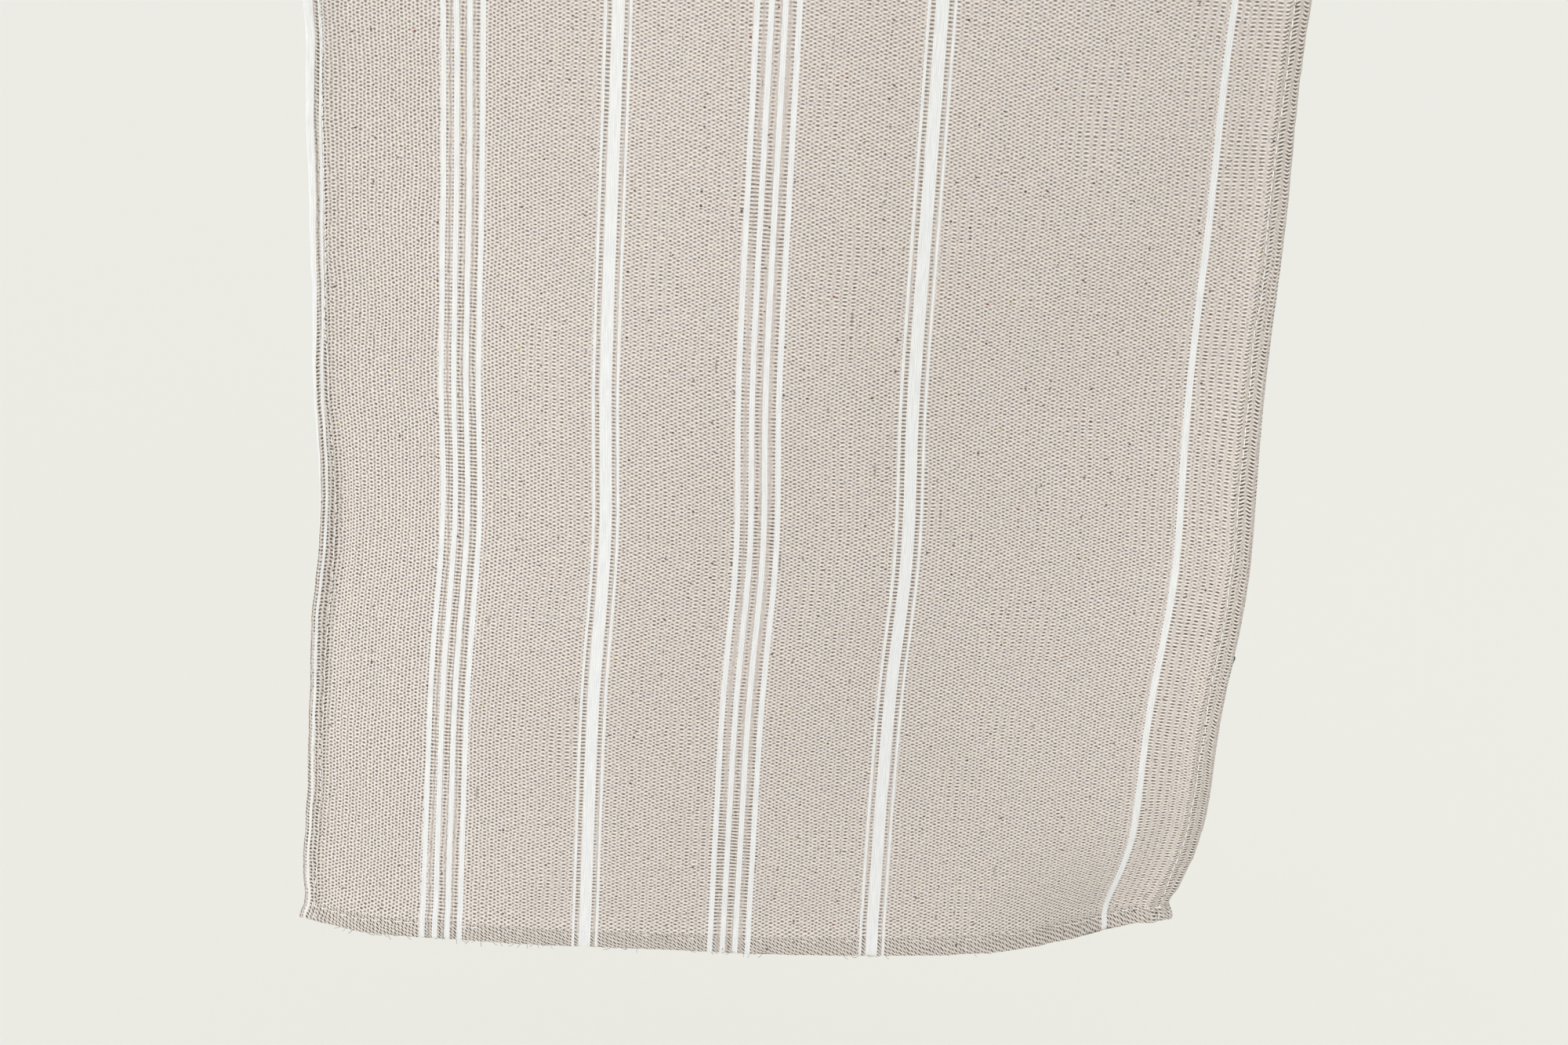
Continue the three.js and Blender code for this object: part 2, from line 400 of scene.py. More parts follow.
def heights(end, u, s):
    """The underside's and the face's heights off the surface that the cloth lies on."""
    side, hem = hem_share(u, s)
    folded = np.maximum(side, hem)
    lift = slow_waves(end, u, s) + pucker(end, u, s) - left_crease(end, u, s)
    face = CLOTH_THICK + face_rise(u, s) - seam_dent(u, s)
    under = face_rise(u, s) * (1 - folded)
    return lift + under, lift + face


# %% Rows and columns
def columns():
    """Places across the runner for the face and the underside: close together on the hems."""
    edge = HALF_WIDTH - HEM_THICK / 2
    inner = HALF_WIDTH - HEM_ZONE
    hem = np.linspace(edge, inner, round((edge - inner) / HEM_STEP) + 1)
    middle = np.linspace(-inner, inner, round(2 * inner / PANEL_STEP) + 1)
    return np.concatenate([-hem, middle[1:-1], hem[::-1]])


def rows(start, stop):
    """Places along the cloth. The last few, at the end hem, are closer."""
    if stop < HALF_LENGTH:
        return np.linspace(start, stop, round((stop - start) / ROW_STEP) + 1)
    edge = HALF_LENGTH - HEM_THICK / 2
    inner = HALF_LENGTH - HEM_ZONE
    cloth = np.linspace(start, inner, round((inner - start) / ROW_STEP) + 1)
    hem = np.linspace(inner, edge, round((edge - inner) / HEM_STEP) + 1)
    return np.concatenate([cloth, hem[1:]])


def loop_row(end, s_value, squeeze):
    """One closed loop across the runner: face, right rim, underside, left rim.
    squeeze is 1 on a full row and falls to 0 as the rows go round the end hem's folded edge."""
    u = columns()
    rim = np.linspace(0, math.pi, RIM_STEPS + 2)[1:-1]
    out = np.sin(rim) * HEM_THICK / 2
    right = u[-1] + out
    across = np.concatenate([u, right, u[::-1], -right[::-1]])
    along = np.full_like(across, s_value)
    round_rim = np.cos(rim) * 0.5
    share = np.concatenate([np.ones_like(u), round_rim + 0.5, np.zeros_like(u), 0.5 - round_rim])
    on_face = np.clip(across, u[0], u[-1]), np.minimum(along, HALF_LENGTH - HEM_THICK / 2)
    under, face = heights(end, *on_face)
    middle = (under + face) / 2
    height = middle + (under + (face - under) * share - middle) * squeeze
    wander = EDGE_WANDER * smooth(np.abs(across), 0.6 * HALF_WIDTH, HALF_WIDTH)
    left_line, right_line = edge_wander[-1](along * end), edge_wander[1](along * end)
    moved = across + wander * np.where(across < 0, left_line, right_line)
    return across, along, moved + corner_tab(across, along), height, share


def corner_tab(across, along):
    """The side edges draw in where the end seam begins, and flare out again at the very corners."""
    from_side, from_end = from_edges(across, along)
    beside = 1 - smooth(from_side, 0, 2.5 * SIDE_HEM)
    drawn_in = hump(from_end, TAB_DRAWN_AT, TAB_DRAWN_REACH)
    flared = 1 - smooth(from_end, 0, TAB_FLARE_HIGH)
    return np.sign(across) * beside * (TAB_FLARE * flared - TAB_DRAWN_IN * drawn_in)


def cloth_mesh(name, end, start, stop):
    """A closed length of the runner from start to stop, with the flat cloth's own places as an attribute."""
    stations = [(s, 1.0) for s in rows(start, stop)]
    if stop >= HALF_LENGTH:
        for angle in np.linspace(0, math.pi / 2, RIM_STEPS)[1:]:
            s_value = HALF_LENGTH - HEM_THICK / 2 * (1 - math.sin(angle))
            stations.append((s_value, max(math.cos(angle), THINNEST)))
    loops = [loop_row(end, s_value, squeeze) for s_value, squeeze in stations]
    across, along, moved, height, share = (np.array(values) for values in zip(*loops))
    places, _ = draped(end, moved, along, height)
    return closed_sheet(name, places, flat_place(end, across, along, share), end)


def flat_place(end, across, along, share):
    """Where each point is on the flat cloth, in millimetres, and 1 on the face or 0 underneath. On the
    underside of a hem the folded edge shows, so the places there go on beyond the edge."""
    from_side, from_end = from_edges(across, along)
    folded = (share < 0.5) & (from_side < SIDE_HEM)
    u = np.where(folded, np.sign(across) * (HALF_WIDTH + from_side), across)
    end_folded = (share < 0.5) & (from_end < END_HEM)
    s = np.where(end_folded, HALF_LENGTH + from_end, along) * -end
    return np.stack([u / MM, s / MM, share], -1)


def closed_sheet(name, places, flats, end):
    """A mesh from rows of loops, closed by quads at its first and last rows."""
    row_count, loop = places.shape[:2]
    mesh = bpy.data.meshes.new(name)
    index = np.arange(row_count * loop).reshape(row_count, loop)
    a, b = index[:-1], index[1:]
    quads = np.stack([a, np.roll(a, -1, 1), np.roll(b, -1, 1), b], -1).reshape(-1, 4)
    quads = np.concatenate([quads, end_cap(index[0])[:, ::-1], end_cap(index[-1])])
    if end > 0:
        quads = quads[:, ::-1]
    mesh.from_pydata(places.reshape(-1, 3), [], quads.tolist())
    attribute = mesh.attributes.new("flat_place", "FLOAT_VECTOR", "POINT")
    attribute.data.foreach_set("vector", flats.reshape(-1).astype(np.float32))
    mesh.shade_smooth()
    keep_cut_ends_sharp(mesh, loop)
    piece = bpy.data.objects.new(name, mesh)
    bpy.context.collection.objects.link(piece)
    return piece


def keep_cut_ends_sharp(mesh, loop):
    """Marks the rims of the first and last loops, so that lengths shade alike where they meet."""
    pairs = np.zeros(len(mesh.edges) * 2, dtype=np.int32)
    mesh.edges.foreach_get("vertices", pairs)
    pairs = pairs.reshape(-1, 2)
    on_rim = (pairs.max(1) < loop) | (pairs.min(1) >= len(mesh.vertices) - loop)
    mesh.attributes.new("sharp_edge", "BOOLEAN", "EDGE").data.foreach_set("value", on_rim)


def end_cap(loop):
    """Quads that close a loop from its face side to its underside."""
    half = len(loop) // 2
    face, under = loop[:half], loop[half:][::-1]
    return np.stack([face[:-1], face[1:], under[1:], under[:-1]], -1)


# %% The four lengths of cloth
JOIN = 455 * MM
LENGTHS = [
    ("table_cloth_front", -1, 0.0, JOIN),
    ("front_drop_cloth", -1, JOIN, HALF_LENGTH),
    ("table_cloth_rear", 1, 0.0, JOIN),
    ("rear_drop_cloth", 1, JOIN, HALF_LENGTH),
]
cloth = {name: cloth_mesh(name, end, start, stop) for name, end, start, stop in LENGTHS}
for name, piece in cloth.items():
    print(name, len(piece.data.polygons), "faces, size", [round(d, 3) for d in piece.dimensions])

# %% [markdown]
# ## Woven cotton
#
# The shader reads the flat cloth's own millimetres, so the weave bends with the cloth, follows its folds and
# runs straight on from one length to the next. Warp yarns lie 1.37 mm apart. Weft yarns float over them in a
# staggered pattern, with small gaps between the floats; the colour paints a highlight on the floats and shade
# in the gaps. The white stripes are warp-faced: there the white warp covers the weft, and painted shade lies
# between its ribs. Between close stripes the gaps line up as rungs.

# %% Shader helpers
def calc(tree, operation, *values):
    """A Math node's result. Each value is a number or a socket."""
    return add(tree, "ShaderNodeMath", dict(enumerate(values)), operation=operation).outputs[0]


def rise(tree, value, low, high):
    """0 at low, 1 at high, and an even S between them. low may be the larger."""
    links = {0: value, 1: low, 2: high}
    return add(tree, "ShaderNodeMapRange", links, interpolation_type="SMOOTHSTEP").outputs[0]


def scaled(tree, value, low, high):
    """A value from 0 to 1, stretched to run from low to high."""
    return add(tree, "ShaderNodeMapRange", {0: value, 3: low, 4: high}).outputs[0]


def mixed(tree, share, first, second):
    """A colour between two colours."""
    return add(tree, "ShaderNodeMix", {0: share, 6: first, 7: second}, data_type="RGBA").outputs[2]


def between(tree, share, first, second):
    """A number between two numbers."""
    return add(tree, "ShaderNodeMix", {0: share, 2: first, 3: second}).outputs[0]


def tinted(tree, colour, amount, most, tint):
    """A colour with some of a tint in it: none where the amount is 0, the most where it is 1."""
    return mixed(tree, scaled(tree, amount, 0, most), colour, linear(tint))


def cell_place(tree, u, s, wide, long):
    """The flat place in units of a cell that is wide by long millimetres."""
    links = {0: calc(tree, "DIVIDE", u, wide), 1: calc(tree, "DIVIDE", s, long)}
    return add(tree, "ShaderNodeCombineXYZ", links).outputs[0]


def grain(tree, u, s, wide, long, detail=1.0):
    """Soft noise from 0 to 1 with patches that are wide by long millimetres."""
    links = {"Vector": cell_place(tree, u, s, wide, long), "Scale": 1.0, "Detail": detail}
    return add(tree, "ShaderNodeTexNoise", links, noise_dimensions="2D").outputs[0]


def flecks(tree, u, s, wide, long, size, share):
    """Small spots, one at most in each cell: where they are, and a random number for each one's colour."""
    links = {"Vector": cell_place(tree, u, s, wide, long), "Scale": 1.0}
    cells = add(tree, "ShaderNodeTexVoronoi", links, voronoi_dimensions="2D")
    chance = add(tree, "ShaderNodeSeparateColor", {0: cells.outputs["Color"]})
    chosen = calc(tree, "LESS_THAN", chance.outputs[0], share)
    distance = calc(tree, "DIVIDE", cells.outputs["Distance"], scaled(tree, chance.outputs[2], 0.5, 1.2))
    spot = rise(tree, distance, size, size * 0.55)
    return calc(tree, "MULTIPLY", spot, chosen), chance.outputs[1]


# %% The stripes' places, in millimetres from the left edge
STRIPE_REPEAT = 104.0
REPEAT_START = 28.5
FOUR_STRIPES = 26.0
WIDE_STRIPE = 78.0
LAST_GROUP_END = 232.0
LONE_STRIPE = 304.5
STRIPE_STEP = 4.55
NARROW_HALF, WIDE_HALF, THIN_HALF, LONE_HALF = 0.95, 2.12, 0.47, 1.15
THIN_FROM_WIDE = 4.2
FOUR_GROUP_HALF, WIDE_GROUP_HALF = 7.8, 4.7
SOFT_HALF = 0.13
DRIFT_TOP, DRIFT_LOWER, DRIFT_DEPTHS, DRIFT_ACROSS = 1.0, 3.35, (60, 330), (20, 9)


def near(tree, value, centre):
    """How far a value is from a centre."""
    return calc(tree, "ABSOLUTE", calc(tree, "SUBTRACT", value, centre))


def inside(tree, distance, half_width):
    """1 within the half width, with a soft edge a quarter of a millimetre wide."""
    return rise(tree, distance, half_width + SOFT_HALF, half_width - SOFT_HALF)


def stripe_masks(tree, u, s):
    """White stripes, and the beige gaps inside each group of stripes."""
    from_left = calc(tree, "ADD", u, HALF_WIDTH / MM)
    depth = calc(tree, "SUBTRACT", calc(tree, "ABSOLUTE", s), (HALF_LENGTH - FRONT_DEPTH) / MM)
    drift = calc(tree, "MULTIPLY_ADD", rise(tree, depth, *DRIFT_DEPTHS), DRIFT_LOWER, DRIFT_TOP)
    drifted = calc(tree, "MULTIPLY_ADD", drift, rise(tree, from_left, *DRIFT_ACROSS), from_left)
    start = calc(tree, "SUBTRACT", drifted, REPEAT_START)
    repeat = calc(tree, "FLOORED_MODULO", start, STRIPE_REPEAT)
    from_four = near(tree, repeat, FOUR_STRIPES)
    from_wide = near(tree, repeat, WIDE_STRIPE)
    pair = near(tree, from_four, STRIPE_STEP)
    white = inside(tree, near(tree, pair, STRIPE_STEP / 2), NARROW_HALF)
    white = calc(tree, "MAXIMUM", white, inside(tree, from_wide, WIDE_HALF))
    thin = inside(tree, near(tree, from_wide, THIN_FROM_WIDE), THIN_HALF)
    white = calc(tree, "MAXIMUM", white, thin)
    four_group = inside(tree, from_four, FOUR_GROUP_HALF)
    group = calc(tree, "MAXIMUM", four_group, inside(tree, from_wide, WIDE_GROUP_HALF))
    grouped = rise(tree, from_left, LAST_GROUP_END, LAST_GROUP_END - 1)
    white = calc(tree, "MULTIPLY", white, grouped)
    lone = inside(tree, near(tree, from_left, LONE_STRIPE), LONE_HALF)
    white = calc(tree, "MAXIMUM", white, lone)
    return white, calc(tree, "MULTIPLY", group, grouped)


# %% The woven cotton itself
WARP_PITCH = 1.37
GAP_PITCH = 1.3
RIB_PITCH = 0.62
CHEVRON_HALF, CHEVRON_LEAN = 1.9, 0.45
END_HEM_LEAN = -0.9
LOWER_FROM, LOWER_TO = 560, 800
FLECK_COLOURS = [(0.0, "#39332e"), (0.45, "#6f6154"), (0.74, "#b08a60"), (0.84, "#d6c48a"),
                 (0.965, "#8e2f26")]


def fleck_colour(tree, chance):
    """Mostly dark brown specks, some ochre and yellow, and a rare red one."""
    ramp = add(tree, "ShaderNodeValToRGB", {0: chance})
    ramp.color_ramp.interpolation = "CONSTANT"
    stops = ramp.color_ramp.elements
    for _ in FLECK_COLOURS[2:]:
        stops.new(1.0)
    for stop, (start, colour) in zip(stops, FLECK_COLOURS):
        stop.position, stop.color = start, linear(colour)
    return ramp.outputs[0]


def hem_masks(tree, u, s):
    """1 on the side hems, and 1 on the end hems."""
    side_edge, end_edge = (HALF_WIDTH - SIDE_HEM) / MM, (HALF_LENGTH - END_HEM) / MM
    side_hem = rise(tree, calc(tree, "ABSOLUTE", u), side_edge - 0.5, side_edge + 0.5)
    end_hem = rise(tree, calc(tree, "ABSOLUTE", s), end_edge - 0.5, end_edge + 0.5)
    return side_hem, end_hem


def yarn_lattice(tree, u, s, gap, side_hem, end_hem):
    """The gaps between yarns and the floats over them. The yarns wander, and on the hems they lean."""
    slow = calc(tree, "MULTIPLY_ADD", grain(tree, u, s, 26, 34), 1.6, u)
    wandered_u = calc(tree, "MULTIPLY_ADD", grain(tree, u, s, 2.6, 2.2), 0.9, slow)
    wandered_s = calc(tree, "MULTIPLY_ADD", grain(tree, u, s, 3.4, 2.6), 0.5, s)
    wandered_s = calc(tree, "MULTIPLY_ADD", grain(tree, u, s, 30, 40), 2.2, wandered_s)
    chevron = calc(tree, "MULTIPLY", calc(tree, "PINGPONG", u, CHEVRON_HALF), side_hem)
    wandered_s = calc(tree, "MULTIPLY_ADD", chevron, CHEVRON_LEAN, wandered_s)

    warp_turn = calc(tree, "MULTIPLY", wandered_u, math.pi / WARP_PITCH)
    across = between(tree, calc(tree, "MULTIPLY", gap, 0.6), calc(tree, "COSINE", warp_turn), 1.0)
    rows_lean = calc(tree, "MULTIPLY_ADD", grain(tree, u, s, 30, 45), 1.6, -0.8)
    rows_lean = calc(tree, "MULTIPLY_ADD", rise(tree, u, 115, 150), 0.6, rows_lean)
    rows_lean = calc(tree, "MULTIPLY", rows_lean, scaled(tree, end_hem, 1, 0.25))
    across = calc(tree, "ADD", across, rows_lean)
    columns_lean = calc(tree, "MULTIPLY_ADD", rise(tree, u, -60, -130), 0.35, 0.12)
    each_warp = calc(tree, "COSINE", calc(tree, "MULTIPLY", warp_turn, 2.0))
    columns_lean = calc(tree, "MULTIPLY", each_warp, columns_lean)

    along = calc(tree, "COSINE", calc(tree, "MULTIPLY", wandered_s, 2 * math.pi / GAP_PITCH))
    leaning_s = calc(tree, "MULTIPLY_ADD", u, END_HEM_LEAN, wandered_s)
    leaning = calc(tree, "COSINE", calc(tree, "MULTIPLY", leaning_s, 2 * math.pi / GAP_PITCH))
    along = between(tree, end_hem, along, leaning)
    lattice = calc(tree, "MULTIPLY_ADD", across, along, columns_lean)
    uneven = calc(tree, "MULTIPLY_ADD", grain(tree, u, s, 0.8, 0.7), 1.1, -0.55)
    uneven_lattice = calc(tree, "ADD", lattice, uneven)
    return rise(tree, uneven_lattice, 0.05, 0.95), rise(tree, uneven_lattice, 0.0, -0.9)


def beige_yarn_and_painted_light(tree, u, s, gap, gap_hole, floats, hem):
    """The undyed yarns' mixed shades, with a painted highlight on the floats and painted shade in the gaps
    between them, both stronger lower down the drops and on the hems, which are a little greyer.
    """
    shade = grain(tree, u, s, 9, 0.9, 2.0)
    patches = grain(tree, u, s, 2.2, 1.8, 2.0)
    slow_shade = grain(tree, u, s, 60, 90, 2.0)
    colour = mixed(tree, rise(tree, shade, 0.3, 0.7), linear("#dfd4cc"), linear("#d3cccb"))
    colour = tinted(tree, colour, rise(tree, patches, 0.35, 0.75), 0.45, "#c8bcb0")
    colour = tinted(tree, colour, rise(tree, slow_shade, 0.3, 0.7), 0.2, "#cbc1b8")

    lower = rise(tree, calc(tree, "ABSOLUTE", s), LOWER_FROM, LOWER_TO)
    # A painted highlight on the floats, stronger lower down the drops and on the hems.
    float_highlight_share = calc(tree, "MULTIPLY_ADD", lower, 0.1, calc(tree, "MULTIPLY_ADD", hem, 0.18, 0.8))
    colour = mixed(tree, calc(tree, "MULTIPLY", floats, float_highlight_share), colour, linear("#f8f2eb"))
    # Painted shade in the gaps between the yarns, stronger on the hems and lower down the drops.
    gap_shade_share = calc(tree, "MULTIPLY_ADD", grain(tree, u, s, 3.1, 2.4), 0.6, 0.36)
    gap_shade_share = calc(tree, "MULTIPLY_ADD", hem, 0.16, gap_shade_share)
    gap_shade_share = calc(tree, "MULTIPLY_ADD", lower, 0.12, gap_shade_share)
    colour = mixed(tree, calc(tree, "MULTIPLY", gap_hole, gap_shade_share), colour, linear("#584f48"))
    colour = mixed(tree, calc(tree, "MULTIPLY", gap, 0.11), colour, linear("#6f655c"))
    return add(tree, "ShaderNodeMix", {0: hem, 6: colour, 7: linear("#f1f1f0")}, data_type="RGBA",
               blend_type="MULTIPLY").outputs[2]


def with_specks(tree, u, s, colour):
    """Specks of plant and stray fibre, and a few long, darker, thick places in the yarn."""
    speck, chance = flecks(tree, u, s, 7.5, 5.5, 0.07, 0.3)
    colour = mixed(tree, scaled(tree, speck, 0, 0.9), colour, fleck_colour(tree, chance))
    slub, _ = flecks(tree, u, s, 11, 62, 0.05, 0.16)
    return tinted(tree, colour, slub, 0.4, "#5b5550")


def white_yarn_and_painted_shade(tree, u, s, rib):
    """The white stripes' colour, with painted shade in the grooves between their close ribs."""
    streaks = rise(tree, grain(tree, u, s, 0.5, 8, 2.0), 0.3, 0.7)
    colour = mixed(tree, scaled(tree, streaks, 0, 1), linear("#e9eaeb"), linear("#f4f4f4"))
    # Painted shade in the grooves between the ribs.
    return tinted(tree, colour, rise(tree, rib, -0.2, -1.0), 0.16, "#c3c7c9")


def make_woven_cotton():
    """Undyed, coarse cotton with a mix of yarn shades, specks, and white stripes."""
    woven_cotton, tree, shader = new_material("coarse_woven_cotton")
    flat = add(tree, "ShaderNodeAttribute", attribute_name="flat_place").outputs["Vector"]
    u, s = add(tree, "ShaderNodeSeparateXYZ", {0: flat}).outputs[:2]
    white, group = stripe_masks(tree, u, s)
    gap = calc(tree, "SUBTRACT", group, white)
    side_hem, end_hem = hem_masks(tree, u, s)
    hem = calc(tree, "MAXIMUM", side_hem, end_hem)
    gap_hole, floats = yarn_lattice(tree, u, s, gap, side_hem, end_hem)

    colour = with_specks(tree, u, s, beige_yarn_and_painted_light(tree, u, s, gap, gap_hole, floats, hem))
    rib = calc(tree, "COSINE", calc(tree, "MULTIPLY", u, 2 * math.pi / RIB_PITCH))
    colour = mixed(tree, white, colour, white_yarn_and_painted_shade(tree, u, s, rib))
    tree.links.new(colour, shader.inputs["Base Color"])

    relief = calc(tree, "SUBTRACT", calc(tree, "MULTIPLY", floats, 0.5), gap_hole)
    relief = between(tree, white, relief, calc(tree, "MULTIPLY", rib, 0.25))
    fuzz = calc(tree, "MULTIPLY_ADD", grain(tree, u, s, 0.35, 0.35, 2.0), 0.5, relief)
    bump = add(tree, "ShaderNodeBump", {"Strength": 0.75, "Distance": 0.22 * MM, "Height": fuzz})
    tree.links.new(bump.outputs[0], shader.inputs["Normal"])
    shader.inputs["Roughness"].default_value = 0.95
    shader.inputs["Specular IOR Level"].default_value = 0.12
    shader.inputs["Sheen Weight"].default_value = 0.12
    shader.inputs["Sheen Roughness"].default_value = 0.5
    return woven_cotton


woven_cotton = make_woven_cotton()
for piece in cloth.values():
    piece.data.materials.append(woven_cotton)
print("woven cotton has", len(woven_cotton.node_tree.nodes), "nodes")

# %% [markdown]
# ## Stitches
#
# Each seam is a line of points on the cloth with the way out of the cloth stored at every point. A Geometry
# Nodes tree sets one arched thread on it every 4.1 mm, turned to lie along the seam. The same tree makes
# the row on the face and the row on the underside, which a lockstitch sewing machine makes together.

# %% A tree that sets short threads along lines
def new_tree(name, inputs):
    """An empty Geometry Nodes tree with these named inputs, and its input and output nodes."""
    tree = bpy.data.node_groups.new(name, "GeometryNodeTree")
    tree.interface.new_socket("Geometry", in_out="INPUT", socket_type="NodeSocketGeometry")
    for label, kind in inputs:
        tree.interface.new_socket(label, in_out="INPUT", socket_type="NodeSocket" + kind)
    tree.interface.new_socket("Geometry", in_out="OUTPUT", socket_type="NodeSocketGeometry")
    return tree, add(tree, "NodeGroupInput").outputs


def thread_tree(name, sides, bends):
    """Short arched threads, evenly spaced along lines of points that hold their way out as 'out'."""
    inputs = [(label, "Float") for label in ("Spacing", "Length", "Thickness", "Arch", "Disorder")]
    tree, given = new_tree(name, [*inputs, ("Seed", "Int"), ("Material", "Material")])
    half = calc(tree, "MULTIPLY", given["Length"], 0.5)
    start = add(tree, "ShaderNodeCombineXYZ", {0: calc(tree, "MULTIPLY", half, -1.0)}).outputs[0]
    stop = add(tree, "ShaderNodeCombineXYZ", {0: half}).outputs[0]
    top = add(tree, "ShaderNodeCombineXYZ", {2: given["Arch"]}).outputs[0]
    arc = add(tree, "GeometryNodeCurveQuadraticBezier",
              {"Resolution": bends, "Start": start, "Middle": top, "End": stop})
    radius = calc(tree, "MULTIPLY", given["Thickness"], 0.5)
    circle = add(tree, "GeometryNodeCurvePrimitiveCircle", {"Resolution": sides, "Radius": radius})
    thread = add(tree, "GeometryNodeCurveToMesh",
                 {"Curve": arc.outputs[0], "Profile Curve": circle.outputs[0], "Fill Caps": True})

    lines = add(tree, "GeometryNodeMeshToCurve", {"Mesh": given["Geometry"]})
    spaced = add(tree, "GeometryNodeResampleCurve",
                 {"Curve": lines.outputs[0], "Length": given["Spacing"]}, mode="LENGTH")
    out = add(tree, "GeometryNodeInputNamedAttribute", {"Name": "out"}, data_type="FLOAT_VECTOR")
    tangent = add(tree, "GeometryNodeInputTangent").outputs[0]
    turned = add(tree, "FunctionNodeAlignRotationToVector", {"Vector": tangent}, axis="X")
    turned = add(tree, "FunctionNodeAlignRotationToVector",
                 {"Rotation": turned.outputs[0], "Vector": out.outputs[0]}, axis="Z", pivot_axis="X")

    loose = calc(tree, "MULTIPLY", given["Disorder"], -1.0)
    low = add(tree, "ShaderNodeCombineXYZ", {i: loose for i in range(3)}).outputs[0]
    high = add(tree, "ShaderNodeCombineXYZ", {i: given["Disorder"] for i in range(3)}).outputs[0]
    wobble = add(tree, "FunctionNodeRandomValue", {"Min": low, "Max": high, "Seed": given["Seed"]},
                 data_type="FLOAT_VECTOR")
    wobble = add(tree, "FunctionNodeEulerToRotation", {0: wobble.outputs[0]})
    turned = add(tree, "FunctionNodeRotateRotation", {0: turned.outputs[0], 1: wobble.outputs[0]},
                 rotation_space="LOCAL")
    size = add(tree, "FunctionNodeRandomValue", {2: 0.88, 3: 1.1, "Seed": given["Seed"]},
               data_type="FLOAT")

    placed = add(tree, "GeometryNodeInstanceOnPoints",
                 {"Points": spaced.outputs[0], "Instance": thread.outputs[0],
                  "Rotation": turned.outputs[0], "Scale": size.outputs[1]})
    real = add(tree, "GeometryNodeRealizeInstances", {0: placed.outputs[0]})
    painted = add(tree, "GeometryNodeSetMaterial",
                  {"Geometry": real.outputs[0], "Material": given["Material"]})
    add(tree, "NodeGroupOutput", {0: painted.outputs[0]})
    return tree


def line_mesh(name, lines):
    """A mesh of lines. Each line is a pair of arrays: its points, and the way out at each of them."""
    points = np.concatenate([line for line, _ in lines])
    outs = np.concatenate([out for _, out in lines])
    edges, first = [], 0
    for line, _ in lines:
        edges += [(first + i, first + i + 1) for i in range(len(line) - 1)]
        first += len(line)
    mesh = bpy.data.meshes.new(name)
    mesh.from_pydata(points.tolist(), edges, [])
    attribute = mesh.attributes.new("out", "FLOAT_VECTOR", "POINT")
    attribute.data.foreach_set("vector", outs.reshape(-1).astype(np.float32))
    return mesh


def run_tree(tree, name, mesh, values):
    """Runs a tree on a mesh and keeps the plain mesh that it makes as an object."""
    piece = bpy.data.objects.new(name, mesh)
    bpy.context.collection.objects.link(piece)
    modifier = piece.modifiers.new("made", "NODES")
    modifier.node_group = tree
    for item in tree.interface.items_tree:
        if item.in_out == "INPUT" and item.name in values:
            modifier[item.identifier] = values[item.name]
    piece.update_tag()
    made = bpy.data.meshes.new_from_object(piece.evaluated_get(bpy.context.evaluated_depsgraph_get()))
    piece.modifiers.clear()
    made.name = name
    piece.data = made
    made.shade_smooth()
    return piece


# %% White thread and its seams
THREAD = 0.38 * MM
STITCH_LENGTH = 2.7 * MM
STITCH_ARCH = 0.4 * MM
BURIED = 0.22 * MM
SEAM_FROM_EDGE = SIDE_HEM - SEAM_INSET
SEAM_FROM_END = END_HEM - SEAM_INSET
SEAM_CORNER = 5 * MM
SIDE_WOBBLE, END_WOBBLE = 0.25 * MM, 0.3 * MM
BURIED_AS_FAR_AS, OUT_FROM = 105 * MM, 130 * MM


def make_thread_cotton():
    """White, slightly glossy sewing cotton."""
    sewing_cotton, _, shader = new_material("white_sewing_cotton")
    shader.inputs["Base Color"].default_value = linear("#f6f6f4")
    shader.inputs["Roughness"].default_value = 0.6
    shader.inputs["Sheen Weight"].default_value = 0.1
    return sewing_cotton


def on_cloth(end, u, s, face, buried=0.0):
    """Points of a seam just on the face or the underside, and the way out of the cloth there."""
    under_height, face_height = heights(end, u, s)
    points, out = draped(end, u, s, face_height - buried if face else under_height)
    return points, out if face else -out


def side_seam(end, side, start, stop, face):
    s = np.arange(start, stop, ROW_STEP)
    wobble = SIDE_WOBBLE * hem_pucker[0](s * 0.3 + side)
    return on_cloth(end, side * (HALF_WIDTH - SEAM_FROM_EDGE) + wobble, s, face)


def end_seam(end, face):
    u = np.arange(-HALF_WIDTH + SEAM_CORNER, HALF_WIDTH - SEAM_CORNER, ROW_STEP)
    wobble = END_WOBBLE * hem_pucker[1](u * 0.3 + end)
    buried = BURIED * (1 - smooth(np.abs(u), BURIED_AS_FAR_AS, OUT_FROM))
    return on_cloth(end, u, HALF_LENGTH - SEAM_FROM_END + wobble, face, buried)


sewing_cotton = make_thread_cotton()
stitch_tree = thread_tree("stitches_along_seams", sides=6, bends=5)
STITCH = {"Spacing": STITCH_PITCH, "Length": STITCH_LENGTH, "Thickness": THREAD, "Arch": STITCH_ARCH,
          "Disorder": 0.05, "Seed": 3, "Material": sewing_cotton}
seams = {"table": [], "front": [], "rear": []}
for end, drop in ((-1, "front"), (1, "rear")):
    for face in (True, False):
        for side in (-1, 1):
            seams["table"].append(side_seam(end, side, STITCH_PITCH / 2, JOIN, face))
            seams[drop].append(side_seam(end, side, JOIN + STITCH_PITCH / 4, HALF_LENGTH - 1.5 * MM, face))
        seams[drop].append(end_seam(end, face))
stitches = {part: run_tree(stitch_tree, f"{part}_stitches", line_mesh(f"{part}_lines", lines), STITCH)
            for part, lines in seams.items()}
for part, piece in stitches.items():
    print(part, "stitches have", len(piece.data.polygons), "faces")

# %% [markdown]
# ## The label and the loose fibres
#
# A small blank tape label is sewn by its top edge to the back of the right hem, and one corner of it shows
# past the edge. The end hems have a few loose fibres below them, set by the same tree as the stitches.

